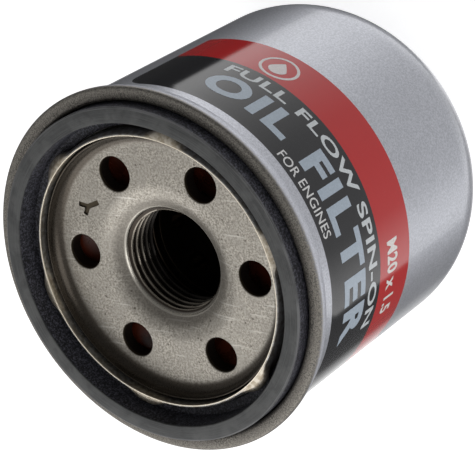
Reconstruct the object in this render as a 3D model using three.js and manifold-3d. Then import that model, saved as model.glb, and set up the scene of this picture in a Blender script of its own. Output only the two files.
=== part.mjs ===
// Spin-on oil filter: a deep-drawn can closed by a threaded base plate, with a pleated element,
// an anti-drain-back valve and a bypass valve inside.
// Millimetres, +Z up. The filter stands on its closed end: the origin is the centre of the ring it
// stands on, and +Z runs along the thread towards the engine.

import * as THREE from 'three';
import * as BufferGeometryUtils from 'three/addons/utils/BufferGeometryUtils.js';
import Module from 'manifold-3d';

const wasm = await Module();
wasm.setup();

// ---- driving dimensions ----------------------------------------------------------------------

const canRadius = 32.3;
const sheet = 0.55;                     // steel sheet of the can and the gasket retainer
const shoulderRadius = 14.2;            // closed end, between the wall and the standing ring
const baseFace = 62.0;                  // outer face of the base plate
const baseThickness = 3.0;
const seamRadius = 33.7;
const seamTop = baseFace + 4.0;
const gasketTop = baseFace + 6.2;

const threadMinorRadius = 9.2;          // M20 x 1.5
const threadMajorRadius = 10.0;
const hubRadius = 12.4;
const hubBottom = baseFace - 9.5;

const inletCount = 6;
const inletRadius = 3.2;
const inletCircle = 18.2;
const inletStart = Math.PI / 6;

const recessRadius = 24.9;              // inside of the retainer's lip
const stakeCount = 6;
const stakeStart = THREE.MathUtils.degToRad(47);

const elementTop = baseFace - 11.5;     // top of the open end cap
const elementBottom = 13.0;             // underside of the closed end cap
const elementRadius = 27.8;
const capSheet = 0.5;
const tubeRadius = 12.0;
const tubeWall = 0.6;
const gap = 0.3;                        // between neighbours that bear on each other

const roundSides = 36;                  // large turned pieces share their facets
const smallSides = 20;

// ---- shape helpers ---------------------------------------------------------------------------

const at = (radius, z) => new THREE.Vector2(radius, z);

// A closed (radius, z) outline turned about Z. One that meets the axis starts and ends on it.
function turned(outline, sides = roundSides) {
  const points = THREE.ShapeUtils.area(outline) < 0 ? [...outline].reverse() : [...outline];
  if (points[0].x > 0) {
    points.push(points[0].clone());
  }
  const geometry = new THREE.LatheGeometry(points, sides);
  geometry.rotateX(Math.PI / 2);
  return geometry;
}

// Points along an arc in the (radius, z) plane, angles in degrees.
function arc(centreRadius, centreZ, bend, from, to, steps) {
  return Array.from({ length: steps + 1 }, (_, i) => {
    const angle = THREE.MathUtils.degToRad(from + (to - from) * (i / steps));
    return at(centreRadius + bend * Math.cos(angle), centreZ + bend * Math.sin(angle));
  });
}

function solid(geometry) {
  const bare = geometry.clone();
  bare.deleteAttribute('normal');
  bare.deleteAttribute('uv');
  const merged = BufferGeometryUtils.mergeVertices(bare, 1e-4);
  return new wasm.Manifold(new wasm.Mesh({
    numProp: 3,
    vertProperties: new Float32Array(merged.attributes.position.array),
    triVerts: new Uint32Array(merged.index.array),
  }));
}

function surface(body) {
  const mesh = body.getMesh();
  const geometry = new THREE.BufferGeometry();
  geometry.setAttribute('position', new THREE.BufferAttribute(mesh.vertProperties, 3));
  geometry.setIndex(new THREE.BufferAttribute(mesh.triVerts, 1));
  return geometry;
}

// A round bar along Z from low to high, centred on (x, y).
function bar(radius, low, high, x, y, sides) {
  const geometry = new THREE.CylinderGeometry(radius, radius, high - low, sides);
  geometry.rotateX(Math.PI / 2);
  geometry.translate(x, y, (low + high) / 2);
  return solid(geometry);
}

// A round bar that points away from Z at the given angle and height.
function radialBar(radius, from, to, angle, z, sides) {
  const geometry = new THREE.CylinderGeometry(radius, radius, to - from, sides);
  geometry.rotateZ(-Math.PI / 2);
  geometry.translate((from + to) / 2, 0, z);
  geometry.rotateZ(angle);
  return solid(geometry);
}

// A flat outline in XY raised to a height.
function raised(outline, depth, z) {
  const geometry = new THREE.ExtrudeGeometry(outline, { depth, bevelEnabled: false });
  geometry.translate(0, 0, z);
  return geometry;
}

function coil(meanRadius, wireRadius, low, high, turns, stepsPerTurn) {
  const steps = Math.round(turns * stepsPerTurn);
  const start = low + wireRadius;
  const rise = high - low - 2 * wireRadius;
  const points = Array.from({ length: steps + 1 }, (_, i) => {
    const part = i / steps;
    const angle = 2 * Math.PI * turns * part;
    const eased = THREE.MathUtils.smootherstep(part, 0, 1) * 0.25 + part * 0.75;
    return new THREE.Vector3(
      meanRadius * Math.cos(angle), meanRadius * Math.sin(angle), start + rise * eased);
  });
  const wire = new THREE.Shape(Array.from({ length: 6 }, (_, i) => {
    const angle = (i * Math.PI) / 3;
    return at(wireRadius * Math.cos(angle), wireRadius * Math.sin(angle));
  }));
  return new THREE.ExtrudeGeometry(wire, {
    steps,
    extrudePath: new THREE.CatmullRomCurve3(points),
  });
}

// ---- assembly --------------------------------------------------------------------------------

const filter = new THREE.Group();

function add(name, geometry, color, roughness, metalness) {
  const material = new THREE.MeshStandardMaterial({ color, roughness, metalness });
  const mesh = new THREE.Mesh(geometry, material);
  mesh.name = name;
  filter.add(mesh);
}

// ---- outer shell -----------------------------------------------------------------------------

// Deep-drawn can: standing ring with a shallow dish inside it, rounded shoulder, straight wall, and
// a flange at the mouth that is folded down inside the seam.
function canister() {
  const inner = canRadius - sheet;
  const ringRadius = canRadius - shoulderRadius;
  const flangeTop = seamTop - 1.1;
  const flangeRadius = canRadius + 0.7;
  return turned([
    at(0, 0.9),
    at(9.5, 0.9),
    at(12.0, 0),
    ...arc(ringRadius, shoulderRadius, shoulderRadius, -90, 0, 5),
    at(canRadius, flangeTop - sheet - 0.3),
    at(flangeRadius - 0.35, flangeTop - sheet - 0.3),
    at(flangeRadius - 0.35, flangeTop - 2.2),
    at(flangeRadius, flangeTop - 2.2),
    at(flangeRadius, flangeTop),
    at(inner + 0.1, flangeTop),
    at(inner, flangeTop - 0.3),
    ...arc(ringRadius, shoulderRadius, shoulderRadius - sheet, 0, -90, 5),
    at(12.0, sheet),
    at(9.5, 0.9 + sheet),
    at(0, 0.9 + sheet),
  ]);
}

// Seaming lid: a lip round the recess, the channel for the gasket, the chuck wall, and the rolled
// seam that wraps the flange of the can. Six stakes push the lip out over the foot of the gasket.
function gasketRetainer() {
  const lip = recessRadius + 0.75;
  const chuckWall = canRadius - sheet - 0.7;
  const cover = seamRadius - sheet;
  const ring = turned([
    at(recessRadius, seamTop),
    at(recessRadius, baseFace - 0.45),
    at(recessRadius + 0.5, baseFace - sheet),
    at(chuckWall + sheet - 0.3, baseFace - sheet),
    at(chuckWall + sheet, baseFace - sheet + 0.3),
    at(chuckWall + sheet, seamTop - sheet),
    at(cover, seamTop - sheet),
    at(cover, seamTop - 3.3),
    at(canRadius + 0.25, seamTop - 3.7),
    at(canRadius + 0.25, seamTop - 4.2),
    at(seamRadius - 0.5, seamTop - 4.1),
    at(seamRadius, seamTop - 3.5),
    at(seamRadius, seamTop - 0.7),
    at(seamRadius - 0.6, seamTop),
    at(chuckWall + 0.5, seamTop),
    at(chuckWall, seamTop - 0.5),
    at(chuckWall, baseFace + 0.4),
    at(chuckWall - 0.4, baseFace),
    at(lip + 0.3, baseFace),
    at(lip, baseFace + 0.3),
    at(lip, seamTop - 0.2),
    at(lip - 0.2, seamTop),
  ]);
  let body = solid(ring);
  const flare = new THREE.Shape([
    at(recessRadius + 0.3, seamTop - 0.15),
    at(recessRadius + 0.3, seamTop - 2.4),
    at(lip, seamTop - 2.0),
    at(recessRadius + 1.9, seamTop - 0.7),
    at(recessRadius + 1.7, seamTop - 0.25),
  ]);
  const stakeWidth = 6.4;
  for (let i = 0; i < stakeCount; i++) {
    const stake = new THREE.ExtrudeGeometry(flare, { depth: stakeWidth, bevelEnabled: false });
    stake.translate(0, 0, -stakeWidth / 2);
    stake.rotateX(Math.PI / 2);
    stake.rotateZ(stakeStart + (i * 2 * Math.PI) / stakeCount);
    body = body.add(solid(stake));
  }
  return surface(body);
}

// Sealing compound laid in the seam before it is rolled.
function seamCompound() {
  const low = seamTop - 1.05;
  const high = seamTop - sheet - 0.05;
  const inner = canRadius - sheet + 0.1;
  return turned([at(inner, low), at(canRadius + 0.6, low), at(canRadius + 0.6, high), at(inner, high)]);
}

// Thick plate that carries the load: flange under the retainer, raised rim, dished face, six inlet
// holes, and a hub drawn inwards for the thread.
function basePlate() {
  const inside = baseFace - baseThickness;
  const flangeTop = baseFace - sheet - 0.3;
  const rim = recessRadius - 0.3;
  const plate = turned([
    at(threadMinorRadius, hubBottom + 0.5),
    at(threadMinorRadius + 0.5, hubBottom),
    at(hubRadius - 0.4, hubBottom),
    at(hubRadius, hubBottom + 0.4),
    at(hubRadius, inside - 1.2),
    at(hubRadius + 1.0, inside),
    at(rim - 1.2, inside),
    at(rim - 0.4, inside - 0.5),
    at(canRadius - sheet - 1.0, inside - 0.5),
    at(canRadius - sheet - 1.0, flangeTop),
    at(rim, flangeTop),
    at(rim, baseFace + 2.5),
    at(rim - 0.3, baseFace + 2.5),
    ...arc(rim - 2.5, baseFace + 2.2, 2.2, 0, -90, 3),
    at(13.4, baseFace),
    at(11.7, baseFace - 0.35),
    at(10.5, baseFace - 1.0),
    at(threadMajorRadius, baseFace - 1.8),
    at(threadMinorRadius, baseFace - 2.4),
  ]);
  let body = solid(plate);
  for (let i = 0; i < inletCount; i++) {
    const angle = inletStart + (i * 2 * Math.PI) / inletCount;
    const x = inletCircle * Math.cos(angle);
    const y = inletCircle * Math.sin(angle);
    body = body.subtract(bar(inletRadius, inside - 1, baseFace + 1, x, y, 12));
  }
  return surface(body);
}

// Square-cut gasket with a foot that reaches under the stakes.
function sealingGasket() {
  const low = baseFace + 0.1;
  const outer = canRadius - sheet - 0.95;
  const inner = 27.9;
  return turned([
    at(recessRadius + 1.2, low),
    at(outer - 0.35, low),
    at(outer, low + 0.35),
    at(outer, gasketTop - 0.35),
    at(outer - 0.3, gasketTop),
    at(inner + 0.3, gasketTop),
    at(inner, gasketTop - 0.35),
    at(inner - 0.1, low + 1.5),
    at(recessRadius + 1.2, low + 1.2),
  ]);
}

add('canister', canister(), 0xb4b5ba, 0.35, 0.6);
add('gasket_retainer', gasketRetainer(), 0x7d776c, 0.45, 0.9);
add('seam_compound', seamCompound(), 0x2b2b2e, 0.8, 0);
add('base_plate', basePlate(), 0x9a9184, 0.5, 0.9);
add('sealing_gasket', sealingGasket(), 0x33363a, 0.6, 0);

// ---- anti-drain-back valve -------------------------------------------------------------------

const flapRoot = hubRadius + 2.2;
const collarTop = elementTop + 5.6;

// Moulded rubber collar clamped between the hub and the open end cap.
function antiDrainCollar() {
  const bore = hubRadius + 0.3;
  const foot = elementTop + gap;
  return turned([
    at(bore, foot),
    at(bore + 4.3, foot),
    at(bore + 4.3, foot + 1.2),
    at(flapRoot - 0.2, foot + 1.8),
    at(flapRoot - 0.2, collarTop),
    at(bore, collarTop),
  ], smallSides);
}

// Thin conical flap of the same moulding, whose edge closes on the base plate outside the holes.
function antiDrainFlap() {
  const edge = baseFace - baseThickness - 0.2;
  const edgeRadius = 23.4;
  return turned([
    at(flapRoot + 0.1, collarTop - 1.3),
    at(edgeRadius - 0.6, edge - 1.0),
    at(edgeRadius, edge - 0.9),
    at(edgeRadius, edge),
    at(edgeRadius - 1.0, edge),
    at(flapRoot + 0.1, collarTop),
  ], smallSides);
}

add('anti_drain_collar', antiDrainCollar(), 0x7a2a18, 0.55, 0);
add('anti_drain_flap', antiDrainFlap(), 0x7a2a18, 0.55, 0);

// ---- filter element --------------------------------------------------------------------------

const capInner = tubeRadius - tubeWall;
const pleatOuter = elementRadius - 0.9;
const pleatInner = tubeRadius + 0.6;
const pleatCount = 36;
const clipPleat = 20;                   // the pleat that joins the two ends of the paper
const adhesive = 0.8;
const mediaTop = elementTop - capSheet - adhesive - 0.3;
const mediaBottom = elementBottom + capSheet + adhesive + 0.3;

// Stamped steel cap with a turned-in rim and a short neck round the outlet.
function openEndCap() {
  const low = elementTop - capSheet;
  return turned([
    at(capInner, low - 1.2),
    at(capInner + 0.3, low - 1.2),
    at(capInner + 0.3, low),
    at(elementRadius - capSheet, low),
    at(elementRadius - capSheet, low - 2.6),
    at(elementRadius, low - 2.6),
    at(elementRadius, elementTop - 0.4),
    at(elementRadius - 0.4, elementTop),
    at(capInner, elementTop),
  ]);
}

// Matching cap at the closed end, with the opening of the bypass valve in its centre.
function closedEndCap() {
  const top = elementBottom + capSheet;
  return turned([
    at(6.6, elementBottom),
    at(elementRadius - 0.4, elementBottom),
    at(elementRadius, elementBottom + 0.4),
    at(elementRadius, top + 2.6),
    at(elementRadius - capSheet, top + 2.6),
    at(elementRadius - capSheet, top),
    at(6.6, top),
  ]);
}

function adhesiveRing(low) {
  const inner = tubeRadius + 0.2;
  const outer = elementRadius - capSheet - 0.15;
  return turned([at(inner, low), at(outer, low), at(outer, low + adhesive), at(inner, low + adhesive)]);
}

// Folded paper: one closed ring of pleats, narrow folds inside and rounded folds outside.
function pleatedMedia() {
  const paper = 0.8;
  const outside = [];
  const inside = [];
  for (let i = 0; i < pleatCount; i++) {
    const fold = (i * 2 * Math.PI) / pleatCount;
    const valley = fold + Math.PI / pleatCount;
    const tip = i === clipPleat ? pleatOuter - 1.3 : pleatOuter;
    const onCircle = (radius, angle) => at(radius * Math.cos(angle), radius * Math.sin(angle));
    outside.push(onCircle(tip, fold - 0.7 / tip), onCircle(tip, fold + 0.7 / tip));
    outside.push(onCircle(pleatInner + paper, valley));
    inside.push(onCircle(tip - paper, fold));
    inside.push(onCircle(pleatInner, valley - 0.5 / pleatInner));
    inside.push(onCircle(pleatInner, valley + 0.5 / pleatInner));
  }
  const ring = new THREE.Shape(outside);
  ring.holes.push(new THREE.Path(inside.reverse()));
  return raised(ring, mediaTop - mediaBottom, mediaBottom);
}

// Folded metal strip crimped over the pleat that joins the ends of the paper.
function mediaSeamClip() {
  const wall = 0.4;
  const halfSlot = 1.25;
  const open = pleatOuter - 5.2;
  const closed = pleatOuter - 0.2;
  const half = halfSlot + wall;
  const clip = raised(new THREE.Shape([
    at(open, -half), at(closed, -half), at(closed, half), at(open, half),
    at(open, halfSlot), at(closed - wall, halfSlot), at(closed - wall, -halfSlot), at(open, -halfSlot),
  ]), mediaTop - mediaBottom - 4, mediaBottom + 2);
  clip.rotateZ((clipPleat * 2 * Math.PI) / pleatCount);
  return clip;
}

// Rolled tube with rows of punched holes, staggered from column to column.
function centreTube() {
  const low = elementBottom + capSheet + gap;
  const high = elementTop - capSheet - 1.5;
  const wall = turned([
    at(capInner, low), at(tubeRadius, low), at(tubeRadius, high), at(capInner, high),
  ], smallSides);
  let body = solid(wall);
  const columns = 8;
  const rows = 3;
  const pitch = (high - low) / (rows + 0.5);
  for (let column = 0; column < columns; column++) {
    const angle = (2 * Math.PI * (column + 0.5)) / columns;
    for (let row = 0; row < rows; row++) {
      const z = low + pitch * (row + (column % 2 ? 1 : 0.5));
      body = body.subtract(radialBar(2.1, tubeRadius - 3, tubeRadius + 3, angle, z, 8));
    }
  }
  return surface(body);
}

add('open_end_cap', openEndCap(), 0xb9b6a8, 0.35, 1);
add('open_end_adhesive', adhesiveRing(elementTop - capSheet - adhesive - 0.1), 0xc98a2e, 0.5, 0);
add('pleated_media', pleatedMedia(), 0xd9b465, 0.9, 0);
add('media_seam_clip', mediaSeamClip(), 0xb0b0ad, 0.4, 1);
add('centre_tube', centreTube(), 0xa8a7a2, 0.4, 1);
add('closed_end_adhesive', adhesiveRing(elementBottom + capSheet + 0.1), 0xc98a2e, 0.5, 0);
add('closed_end_cap', closedEndCap(), 0xb9b6a8, 0.35, 1);

// ---- bypass valve ----------------------------------------------------------------------------

const seatTop = elementBottom + capSheet + 1.4;
const sealTop = seatTop + gap + 1.0;
const discTop = sealTop + 0.7;
const cageTop = seatTop + 15.0;
const cageRadius = capInner - 2.2;
const cageSheet = 0.6;

// Pressed seat that the valve closes on.
function bypassSeat() {
  const low = elementBottom + capSheet + gap;
  return turned([
    at(5.2, low), at(capInner - 0.4, low), at(capInner - 0.4, seatTop - 0.4), at(7.4, seatTop - 0.4),
    at(6.2, seatTop), at(5.2, seatTop),
  ], smallSides);
}

function bypassSeal() {
  return turned([
    at(1.7, seatTop + gap), at(7.2, seatTop + gap), at(7.2, sealTop - 0.05), at(1.7, sealTop - 0.05),
  ], smallSides);
}

// Steel backing disc with a raised centre that guides the spring.
function bypassDisc() {
  return turned([
    at(1.7, sealTop), at(7.5, sealTop), at(7.5, discTop), at(3.6, discTop), at(3.0, discTop + 2.4),
    at(1.7, discTop + 2.4),
  ], smallSides);
}

// Rivet that holds the seal to the disc.
function bypassRivet() {
  const head = seatTop - 0.7;
  return turned([
    at(0, head), at(2.6, head), at(2.9, head + 0.3), at(2.9, seatTop + 0.2), at(1.6, seatTop + 0.2),
    at(1.6, discTop + 2.5), at(2.4, discTop + 2.5), at(2.1, discTop + 3.3), at(0, discTop + 3.3),
  ], 16);
}

// Cage over the spring, riveted to the seat, with four windows for the oil.
function bypassCage() {
  const foot = seatTop + 0.1;
  let body = solid(turned([
    at(cageRadius - cageSheet, foot + cageSheet),
    at(cageRadius - cageSheet, foot),
    at(capInner - 0.5, foot),
    at(capInner - 0.5, foot + cageSheet),
    at(cageRadius, foot + cageSheet),
    at(cageRadius, cageTop - 0.6),
    at(cageRadius - 0.6, cageTop),
    at(3.4, cageTop),
    at(3.4, cageTop - cageSheet),
    at(cageRadius - cageSheet, cageTop - cageSheet),
  ], smallSides));
  const low = foot + 3.0;
  const high = cageTop - 2.4;
  for (let i = 0; i < 2; i++) {
    const window = new THREE.BoxGeometry(30, 7.6, high - low);
    window.translate(0, 0, (low + high) / 2);
    window.rotateZ(Math.PI / 4 + (i * Math.PI) / 2);
    body = body.subtract(solid(window));
  }
  return surface(body);
}

add('bypass_seat', bypassSeat(), 0x9fa0a0, 0.4, 1);
add('bypass_seal', bypassSeal(), 0x2c2c2e, 0.7, 0);
add('bypass_disc', bypassDisc(), 0xa9a9a6, 0.35, 1);
add('bypass_rivet', bypassRivet(), 0xb5b5b2, 0.3, 1);
add('bypass_spring', coil(4.6, 0.5, discTop + 0.1, cageTop - cageSheet - 0.1, 4.5, 12), 0x8d8f92, 0.3, 1);
add('bypass_cage', bypassCage(), 0x9fa0a0, 0.4, 1);

// ---- element spring --------------------------------------------------------------------------

// Leaf spring stamped as a cross: four arched legs between the closed end of the can and the
// element, and an opening in the crown for the bypass valve.
function elementSpring() {
  const stock = 0.8;
  const foot = sheet + 0.15;
  const crown = elementBottom - 0.15;
  const legWidth = 10;
  const right = [
    at(10.4, crown - stock),
    at(13.6, crown - 7.0),
    at(16.4, foot),
    at(18.2, foot),
    at(18.2, foot + stock),
    at(17.0, foot + stock),
    at(14.4, crown - 6.6),
    at(10.8, crown),
  ];
  const left = right.map((point) => at(-point.x, point.y)).reverse();
  const strip = new THREE.Shape([...right, ...left]);
  const one = new THREE.ExtrudeGeometry(strip, { depth: legWidth, bevelEnabled: false });
  one.translate(0, 0, -legWidth / 2);
  one.rotateX(Math.PI / 2);
  const other = one.clone();
  other.rotateZ(Math.PI / 2);
  const cross = solid(one).add(solid(other));
  return surface(cross.subtract(bar(6.6, foot, crown + 1, 0, 0, 20)));
}

add('element_spring', elementSpring(), 0x7f8286, 0.35, 1);

export default filter;
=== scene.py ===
import math

import bpy
import bmesh
from mathutils import Matrix, Vector


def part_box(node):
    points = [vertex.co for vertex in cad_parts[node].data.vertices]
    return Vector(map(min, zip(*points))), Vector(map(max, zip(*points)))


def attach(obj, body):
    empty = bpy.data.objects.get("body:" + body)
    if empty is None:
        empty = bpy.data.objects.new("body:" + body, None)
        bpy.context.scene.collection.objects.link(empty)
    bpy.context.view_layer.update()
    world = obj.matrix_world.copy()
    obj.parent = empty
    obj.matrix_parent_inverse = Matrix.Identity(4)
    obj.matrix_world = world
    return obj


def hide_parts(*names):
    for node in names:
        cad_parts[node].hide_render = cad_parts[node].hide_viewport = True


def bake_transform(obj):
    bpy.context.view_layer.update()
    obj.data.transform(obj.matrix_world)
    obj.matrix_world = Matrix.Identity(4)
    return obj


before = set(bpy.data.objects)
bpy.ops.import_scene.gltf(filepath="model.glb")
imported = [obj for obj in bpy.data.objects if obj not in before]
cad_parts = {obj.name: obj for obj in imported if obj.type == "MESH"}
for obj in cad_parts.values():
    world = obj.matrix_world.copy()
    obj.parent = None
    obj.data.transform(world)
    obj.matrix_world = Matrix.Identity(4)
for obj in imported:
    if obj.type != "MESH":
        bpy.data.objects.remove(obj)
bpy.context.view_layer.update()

mm = 0.001
scene = bpy.context.scene
scene.view_settings.view_transform = "Standard"


def low(node):  # corners of a node's box in the frame, in millimetres
    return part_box(node)[0] / mm


def high(node):
    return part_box(node)[1] / mm


seamTop = high("gasket_retainer").z
seamRadius = high("gasket_retainer").x
gasketTop = high("sealing_gasket").z
rimHeight = 2.5
plateThickness = 3.0
plateFace = high("base_plate").z - rimHeight
plateInside = plateFace - plateThickness
hubBottom = low("base_plate").z
canRadius = seamRadius - 1.4
elementTop = high("open_end_cap").z
elementBottom = low("closed_end_cap").z
elementRadius = high("closed_end_cap").x
tubeRadius = high("centre_tube").x
mediaLow = low("pleated_media").z
mediaHigh = high("pleated_media").z
seatTop = high("bypass_seat").z
cageTop = high("bypass_cage").z
cageRadius = high("bypass_cage").x
tiny = 1e-6
print("frame read")


def shadeSmooth(mesh, smoothAngle):
    mesh.polygons.foreach_set("use_smooth", [True] * len(mesh.polygons))
    mesh.set_sharp_from_angle(angle=math.radians(smoothAngle))


# shapes are drawn in millimetres, and become metres here
def finishPiece(name, bm, material, body, nodes=(), smoothAngle=35):
    bmesh.ops.scale(bm, vec=(mm, mm, mm), verts=bm.verts)
    mesh = bpy.data.meshes.new(name)
    bm.to_mesh(mesh)
    bm.free()
    shadeSmooth(mesh, smoothAngle)
    mesh.materials.append(material)
    piece = bpy.data.objects.new(name, mesh)
    scene.collection.objects.link(piece)
    if body:
        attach(piece, body)
    if nodes:
        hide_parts(*nodes)
    return piece


# points are (x, z) or (x, z, rounding), and flat takes y in place of z
def roundedFace(bm, points, segments=5, flat=False):
    corners = [bm.verts.new((p[0], p[1], 0) if flat else (p[0], 0, p[1])) for p in points]
    bm.faces.new(corners)
    for corner, point in zip(corners, points):
        if len(point) == 3:
            bmesh.ops.bevel(
                bm, geom=[corner], offset=point[2], offset_type="OFFSET", affect="VERTICES",
                segments=max(segments, round(point[2] * 3)), profile=0.5, material=-1, clamp_overlap=True)


def turned(points, steps=192, segments=5, longest=None):  # a closed outline turned about Z
    bm = bmesh.new()
    roundedFace(bm, points, segments)
    bmesh.ops.delete(bm, geom=bm.faces[:], context="FACES_ONLY")
    onAxis = [e for e in bm.edges if all(v.co.x < tiny for v in e.verts)]
    bmesh.ops.delete(bm, geom=onAxis, context="EDGES")
    if longest:
        for edge in [e for e in bm.edges if e.calc_length() > longest]:
            bmesh.ops.subdivide_edges(bm, edges=[edge], cuts=int(edge.calc_length() / longest))
    bmesh.ops.spin(
        bm, geom=bm.verts[:] + bm.edges[:], cent=(0, 0, 0), axis=(0, 0, 1), dvec=(0, 0, 0),
        angle=2 * math.pi, steps=steps, use_merge=True, use_normal_flip=False, use_duplicate=False)
    bmesh.ops.remove_doubles(bm, verts=bm.verts, dist=1e-4)
    bmesh.ops.recalc_face_normals(bm, faces=bm.faces)
    return bm


def pushed(points, bottom, top, segments=5, rounding=0.0):  # a flat outline pushed up along Z
    bm = bmesh.new()
    roundedFace(bm, points, segments, flat=True)
    bmesh.ops.translate(bm, vec=(0, 0, bottom), verts=bm.verts)
    made = bmesh.ops.extrude_face_region(bm, geom=bm.faces[:], use_keep_orig=True)["geom"]
    raised = [v for v in made if isinstance(v, bmesh.types.BMVert)]
    bmesh.ops.translate(bm, vec=(0, 0, top - bottom), verts=raised)
    bmesh.ops.recalc_face_normals(bm, faces=bm.faces)
    if rounding:
        rims = [e for e in bm.edges if abs(e.verts[0].co.z - e.verts[1].co.z) < tiny]
        bmesh.ops.bevel(
            bm, geom=rims, offset=rounding, offset_type="OFFSET", affect="EDGES",
            segments=2, profile=0.5, material=-1, clamp_overlap=True)
    return bm


def repeatedRound(single, count, firstAngle):  # copies of one cutter round Z
    bm = bmesh.new()
    cutterMesh = bpy.data.meshes.new("single")
    single.to_mesh(cutterMesh)
    single.free()
    for k in range(count):
        before = set(bm.verts)
        bm.from_mesh(cutterMesh)
        added = [v for v in bm.verts if v not in before]
        turn = Matrix.Rotation(math.radians(firstAngle + 360 / count * k), 3, "Z")
        bmesh.ops.rotate(bm, cent=(0, 0, 0), matrix=turn, verts=added)
    bpy.data.meshes.remove(cutterMesh)
    return bm


def ringOfCutters(outline, count, distance, firstAngle, steps=48, lying=False):
    single = turned(outline, steps=steps, segments=4)
    if lying:
        onItsSide = Matrix.Rotation(math.radians(90), 3, "Y")
        bmesh.ops.rotate(single, cent=(0, 0, 0), matrix=onItsSide, verts=single.verts)
    bmesh.ops.translate(single, vec=(distance, 0, 0), verts=single.verts)
    return repeatedRound(single, count, firstAngle)


def radiusOf(v):
    return math.hypot(v.co.x, v.co.y)


def moveRadially(v, amount):
    r = radiusOf(v)
    v.co.x *= (r + amount) / r
    v.co.y *= (r + amount) / r


def smoothStep(x, start, end):
    t = min(max((x - start) / (end - start), 0.0), 1.0)
    return t * t * (3 - 2 * t)


def subtractPiece(piece, cutterBm):
    cutterMesh = bpy.data.meshes.new("cutter")
    bmesh.ops.scale(cutterBm, vec=(mm, mm, mm), verts=cutterBm.verts)
    bmesh.ops.recalc_face_normals(cutterBm, faces=cutterBm.faces)
    cutterBm.to_mesh(cutterMesh)
    cutterBm.free()
    cutter = bpy.data.objects.new("cutter", cutterMesh)
    scene.collection.objects.link(cutter)
    cut = piece.modifiers.new("cut", "BOOLEAN")
    cut.operation = "DIFFERENCE"
    cut.solver = "MANIFOLD"
    cut.object = cutter
    applyModifiers(piece)
    bpy.data.objects.remove(cutter)


def applyModifiers(piece):
    graph = bpy.context.evaluated_depsgraph_get()
    graph.update()
    mesh = bpy.data.meshes.new_from_object(piece.evaluated_get(graph))
    piece.modifiers.clear()
    piece.data = mesh
    shadeSmooth(mesh, 35)


class Finish:  # a material with short calls for its nodes
    def __init__(self, name, **values):
        self.material = bpy.data.materials.new(name)
        self.material.use_nodes = True
        self.tree = self.material.node_tree
        self.shader = self.tree.nodes["Principled BSDF"]
        for socket, value in values.items():
            self.shader.inputs[socket.replace("_", " ")].default_value = value
        self.place = self.tree.nodes.new("ShaderNodeTexCoord").outputs["Object"]

    def plug(self, socket, value):
        if isinstance(value, bpy.types.NodeSocket):
            self.tree.links.new(value, socket)
        elif value is not None:
            socket.default_value = value

    def math(self, operation, a, b=None, c=None):
        node = self.tree.nodes.new("ShaderNodeMath")
        node.operation = operation
        for socket, value in zip(node.inputs, (a, b, c)):
            self.plug(socket, value)
        return node.outputs[0]

    def vector(self, operation, a, b=None):
        node = self.tree.nodes.new("ShaderNodeVectorMath")
        node.operation = operation
        self.plug(node.inputs[0], a)
        self.plug(node.inputs[1], b)
        return node.outputs["Value" if operation == "LENGTH" else "Vector"]

    def stretch(self, scale, turn=(0, 0, 0)):
        node = self.tree.nodes.new("ShaderNodeMapping")
        self.plug(node.inputs["Vector"], self.place)
        node.inputs["Scale"].default_value = scale
        node.inputs["Rotation"].default_value = turn
        return node.outputs[0]

    def noise(self, size, detail=3.0, roughness=0.55, vector=None, distortion=0.0):  # size in mm
        node = self.tree.nodes.new("ShaderNodeTexNoise")
        self.plug(node.inputs["Vector"], vector or self.place)
        node.inputs["Scale"].default_value = 1 / (size * mm) if vector is None else 1 / size
        node.inputs["Detail"].default_value = detail
        node.inputs["Roughness"].default_value = roughness
        node.inputs["Distortion"].default_value = distortion
        return node.outputs["Fac"]

    def cells(self, size):  # size in mm
        node = self.tree.nodes.new("ShaderNodeTexVoronoi")
        self.plug(node.inputs["Vector"], self.place)
        node.inputs["Scale"].default_value = 1 / (size * mm)
        return node.outputs["Distance"]

    def ramp(self, value, start, end, least=0.0, most=1.0):
        node = self.tree.nodes.new("ShaderNodeMapRange")
        node.interpolation_type = "SMOOTHSTEP"
        self.plug(node.inputs["Value"], value)
        for socket, number in zip(("From Min", "From Max", "To Min", "To Max"), (start, end, least, most)):
            self.plug(node.inputs[socket], number)
        return node.outputs[0]

    def blend(self, factor, a, b, kind="MIX"):
        node = self.tree.nodes.new("ShaderNodeMix")
        node.data_type = "RGBA"
        node.blend_type = kind
        node.clamp_factor = True
        self.plug(node.inputs[0], factor)
        self.plug(node.inputs[6], (*a, 1) if isinstance(a, tuple) else a)
        self.plug(node.inputs[7], (*b, 1) if isinstance(b, tuple) else b)
        return node.outputs[2]

    def blendValue(self, factor, a, b):
        return self.math("MULTIPLY_ADD", factor, b - a, a)

    def polar(self):  # radius, angle and height of a point, in millimetres and radians
        parts = self.tree.nodes.new("ShaderNodeSeparateXYZ")
        self.plug(parts.inputs[0], self.place)
        x, y, z = (self.math("MULTIPLY", parts.outputs[i], 1 / mm) for i in range(3))
        radius = self.math("SQRT", self.math("ADD", self.math("MULTIPLY", x, x), self.math("MULTIPLY", y, y)))
        return radius, self.math("ARCTAN2", y, x), z

    def join(self, x, y, z=0.0):
        node = self.tree.nodes.new("ShaderNodeCombineXYZ")
        for socket, value in zip(node.inputs, (x, y, z)):
            self.plug(socket, value)
        return node.outputs[0]

    def around(self, radius, angle, z, bands=40.0, turns=1.5):  # runs in long streaks round the axis
        return self.join(
            self.math("MULTIPLY", self.math("COSINE", angle), turns),
            self.math("MULTIPLY", self.math("SINE", angle), turns),
            self.math("MULTIPLY", self.math("ADD", radius, z), bands))

    def bump(self, height, strength, depth=0.1, after=None):  # depth in mm
        node = self.tree.nodes.new("ShaderNodeBump")
        node.inputs["Strength"].default_value = strength
        node.inputs["Distance"].default_value = depth * mm
        self.plug(node.inputs["Height"], height)
        if after is not None:
            self.plug(node.inputs["Normal"], after)
        return node.outputs[0]

    def use(self, **sockets):
        for socket, value in sockets.items():
            self.plug(self.shader.inputs[socket.replace("_", " ")], value)
        return self.material


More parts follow.
